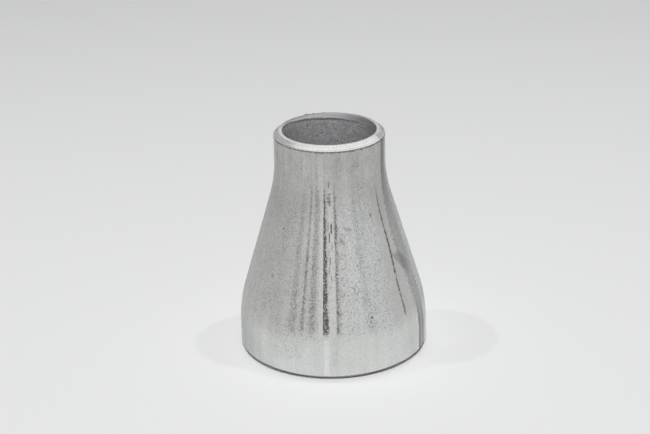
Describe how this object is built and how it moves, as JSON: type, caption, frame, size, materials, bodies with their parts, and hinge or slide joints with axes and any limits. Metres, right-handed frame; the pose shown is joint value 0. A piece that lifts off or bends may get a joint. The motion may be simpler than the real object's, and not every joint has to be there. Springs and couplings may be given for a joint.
{
  "type": "concentric reducer",
  "caption": "Butt-weld concentric pipe reducer: a thick-walled stainless cone with a short straight collar and a bevelled weld end at each side.",
  "frame": {"origin": "centre of the large end's root face, on the plane it stands on", "axes": "+Z along the common centre line, from the large end to the small end"},
  "size_m": [0.073, 0.073, 0.0889],
  "materials": {
    "stainless_shell": "pickled matte skin with fine drawing marks; bevels and root faces lathe-turned bright"
  },
  "bodies": {
    "root": {"reducer_shell": "stainless_shell"}
  },
  "joints": []
}
